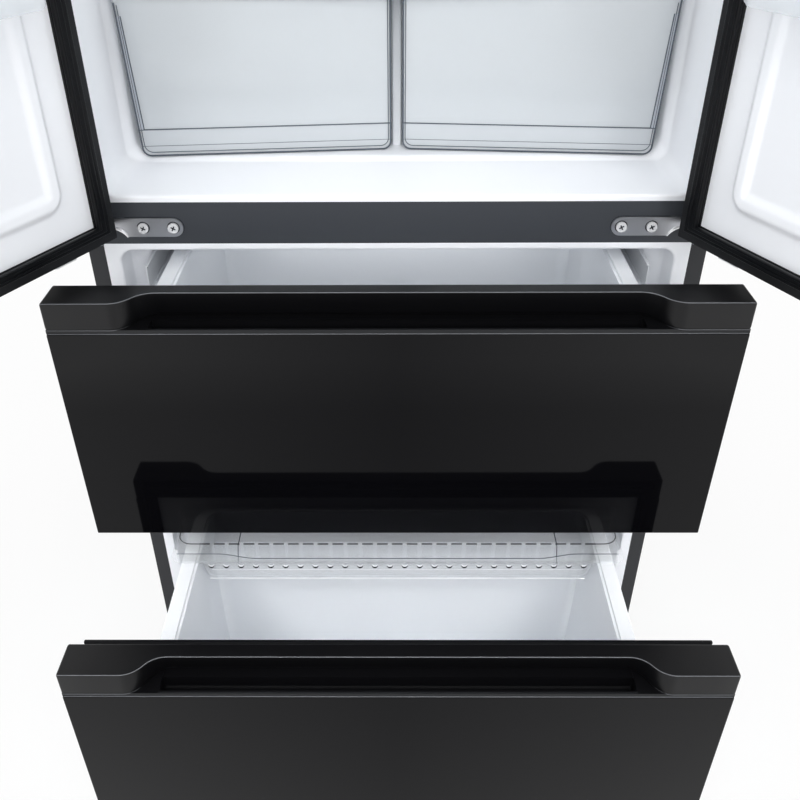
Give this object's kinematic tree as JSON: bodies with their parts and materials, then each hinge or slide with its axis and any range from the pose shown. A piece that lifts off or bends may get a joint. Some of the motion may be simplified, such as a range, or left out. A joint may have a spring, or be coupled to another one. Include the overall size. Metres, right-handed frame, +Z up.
{
  "type": "fridge freezer",
  "caption": "French-door fridge freezer with black glass fronts: hinged fridge doors above pull-out freezer drawers, clear crispers, glass shelves, door bins and a sliding freezer tray.",
  "frame": {"origin": "centre of the object's footprint, doors and drawers as pictured, at floor level", "axes": "+Z up, the doors and drawers open towards -Y, +X to the right of someone standing in front"},
  "size_m": [1.1913, 1.0319, 1.785],
  "materials": {
    "dark_paint": "satin",
    "back_sheet": "satin",
    "zinc": "satin",
    "foam": "matte",
    "front_core": "matte",
    "front_glass": "gloss",
    "handle_trim": "satin",
    "white_liner": "satin",
    "gasket": "matte",
    "clear_plastic": "gloss",
    "shelf_glass": "gloss",
    "dark_plastic": "satin",
    "fin_metal": "satin",
    "black_shell": "satin",
    "fan_plastic": "matte"
  },
  "bodies": {
    "cabinet": {"outer_case": "dark_paint", "back_panel": "back_sheet", "base_pan": "zinc", "cabinet_foam": "foam", "fridge_liner": "white_liner", "freezer_liner": "white_liner", "mid_beam": "dark_paint", "drawer_cross_rail": "dark_paint", "top_hinges": "zinc", "top_hinge_covers": "dark_plastic", "mid_hinges": "zinc", "hinge_screws": "zinc", "runner_rails": "zinc", "glass_shelves": "shelf_glass", "shelf_trims": "white_liner", "crisper_frame": "white_liner", "air_duct_panel": "white_liner", "freezer_back_cover": "white_liner", "evaporator": "fin_metal", "compressor": "black_shell", "condenser": "fin_metal", "fan_bracket": "zinc", "rear_cover": "back_sheet", "kick_plate": "dark_plastic"},
    "left_door": {"left_door_glass": "front_glass", "left_door_body": "front_core", "left_door_gasket": "gasket", "left_door_liner": "white_liner", "left_door_bins": "clear_plastic"},
    "right_door": {"right_door_glass": "front_glass", "right_door_body": "front_core", "right_door_gasket": "gasket", "right_door_liner": "white_liner", "right_door_bins": "clear_plastic"},
    "mullion": {"mullion_bar": "dark_plastic"},
    "upper_drawer": {"upper_drawer_glass": "front_glass", "upper_drawer_handle": "handle_trim", "upper_drawer_body": "front_core", "upper_drawer_gasket": "gasket", "upper_drawer_liner": "white_liner", "upper_drawer_box": "white_liner", "upper_drawer_slides": "zinc"},
    "lower_drawer": {"lower_drawer_glass": "front_glass", "lower_drawer_handle": "handle_trim", "lower_drawer_body": "front_core", "lower_drawer_gasket": "gasket", "lower_drawer_liner": "white_liner", "lower_drawer_box": "white_liner", "lower_drawer_slides": "zinc"},
    "upper_runners": {"upper_runner_middles": "zinc"},
    "lower_runners": {"lower_runner_middles": "zinc"},
    "tray": {"freezer_tray": "clear_plastic"},
    "left_crisper": {"crisper_left": "clear_plastic"},
    "right_crisper": {"crisper_right": "clear_plastic"},
    "cold_fan": {"evaporator_fan": "fan_plastic"},
    "warm_fan": {"condenser_fan": "fan_plastic"},
    "left_roller": {"rear_roller_left": "fan_plastic"},
    "right_roller": {"rear_roller_right": "fan_plastic"},
    "left_foot": {"front_foot_left": "fan_plastic"},
    "right_foot": {"front_foot_right": "fan_plastic"}
  },
  "joints": [
    {"name": "left_door_swing", "type": "hinge", "parent": "cabinet", "child": "left_door", "pos_m": [-0.395, -0.144, 1.2955], "axis": [0, 0, -1], "range_deg": [-118, 10]},
    {"name": "right_door_swing", "type": "hinge", "parent": "cabinet", "child": "right_door", "pos_m": [0.395, -0.144, 1.2955], "axis": [0, 0, 1], "range_deg": [-116, 12]},
    {"name": "mullion_flip", "type": "hinge", "parent": "left_door", "child": "mullion", "pos_m": [-0.51887, -0.48133, 1.2955], "axis": [0, 0, 1], "range_deg": [-90, 0]},
    {"name": "upper_drawer_slide", "type": "slide", "parent": "cabinet", "child": "upper_drawer", "axis": [0, -1, 0], "range_m": [-0.125, 0.255]},
    {"name": "lower_drawer_slide", "type": "slide", "parent": "cabinet", "child": "lower_drawer", "axis": [0, -1, 0], "range_m": [-0.335, 0.015]},
    {"name": "upper_runner_slide", "type": "slide", "parent": "cabinet", "child": "upper_runners", "axis": [0, -1, 0], "range_m": [-0.0625, 0.1275]},
    {"name": "lower_runner_slide", "type": "slide", "parent": "cabinet", "child": "lower_runners", "axis": [0, -1, 0], "range_m": [-0.1675, 0.0075]},
    {"name": "tray_slide", "type": "slide", "parent": "lower_drawer", "child": "tray", "axis": [0, -1, 0], "range_m": [0, 0.13]},
    {"name": "left_crisper_slide", "type": "slide", "parent": "cabinet", "child": "left_crisper", "axis": [0, -1, 0], "range_m": [0, 0.3]},
    {"name": "right_crisper_slide", "type": "slide", "parent": "cabinet", "child": "right_crisper", "axis": [0, -1, 0], "range_m": [0, 0.3]},
    {"name": "evaporator_fan_spin", "type": "hinge", "parent": "cabinet", "child": "cold_fan", "pos_m": [0, 0.3413, 0.676], "axis": [0, 1, 0], "continuous": true},
    {"name": "condenser_fan_spin", "type": "hinge", "parent": "cabinet", "child": "warm_fan", "pos_m": [0.0413, 0.414, 0.126], "axis": [1, 0, 0], "continuous": true},
    {"name": "left_roller_spin", "type": "hinge", "parent": "cabinet", "child": "left_roller", "pos_m": [-0.372, 0.454, 0.022], "axis": [1, 0, 0], "continuous": true},
    {"name": "right_roller_spin", "type": "hinge", "parent": "cabinet", "child": "right_roller", "pos_m": [0.372, 0.454, 0.022], "axis": [1, 0, 0], "continuous": true},
    {"name": "left_foot_turn", "type": "hinge", "parent": "cabinet", "child": "left_foot", "pos_m": [-0.36, -0.046, 0.01], "axis": [0, 0, 1], "continuous": true},
    {"name": "right_foot_turn", "type": "hinge", "parent": "cabinet", "child": "right_foot", "pos_m": [0.36, -0.046, 0.01], "axis": [0, 0, 1], "continuous": true}
  ],
  "couplings": [
    {"joint": "upper_runner_slide", "follows": "upper_drawer_slide", "ratio": 0.5},
    {"joint": "lower_runner_slide", "follows": "lower_drawer_slide", "ratio": 0.5}
  ]
}
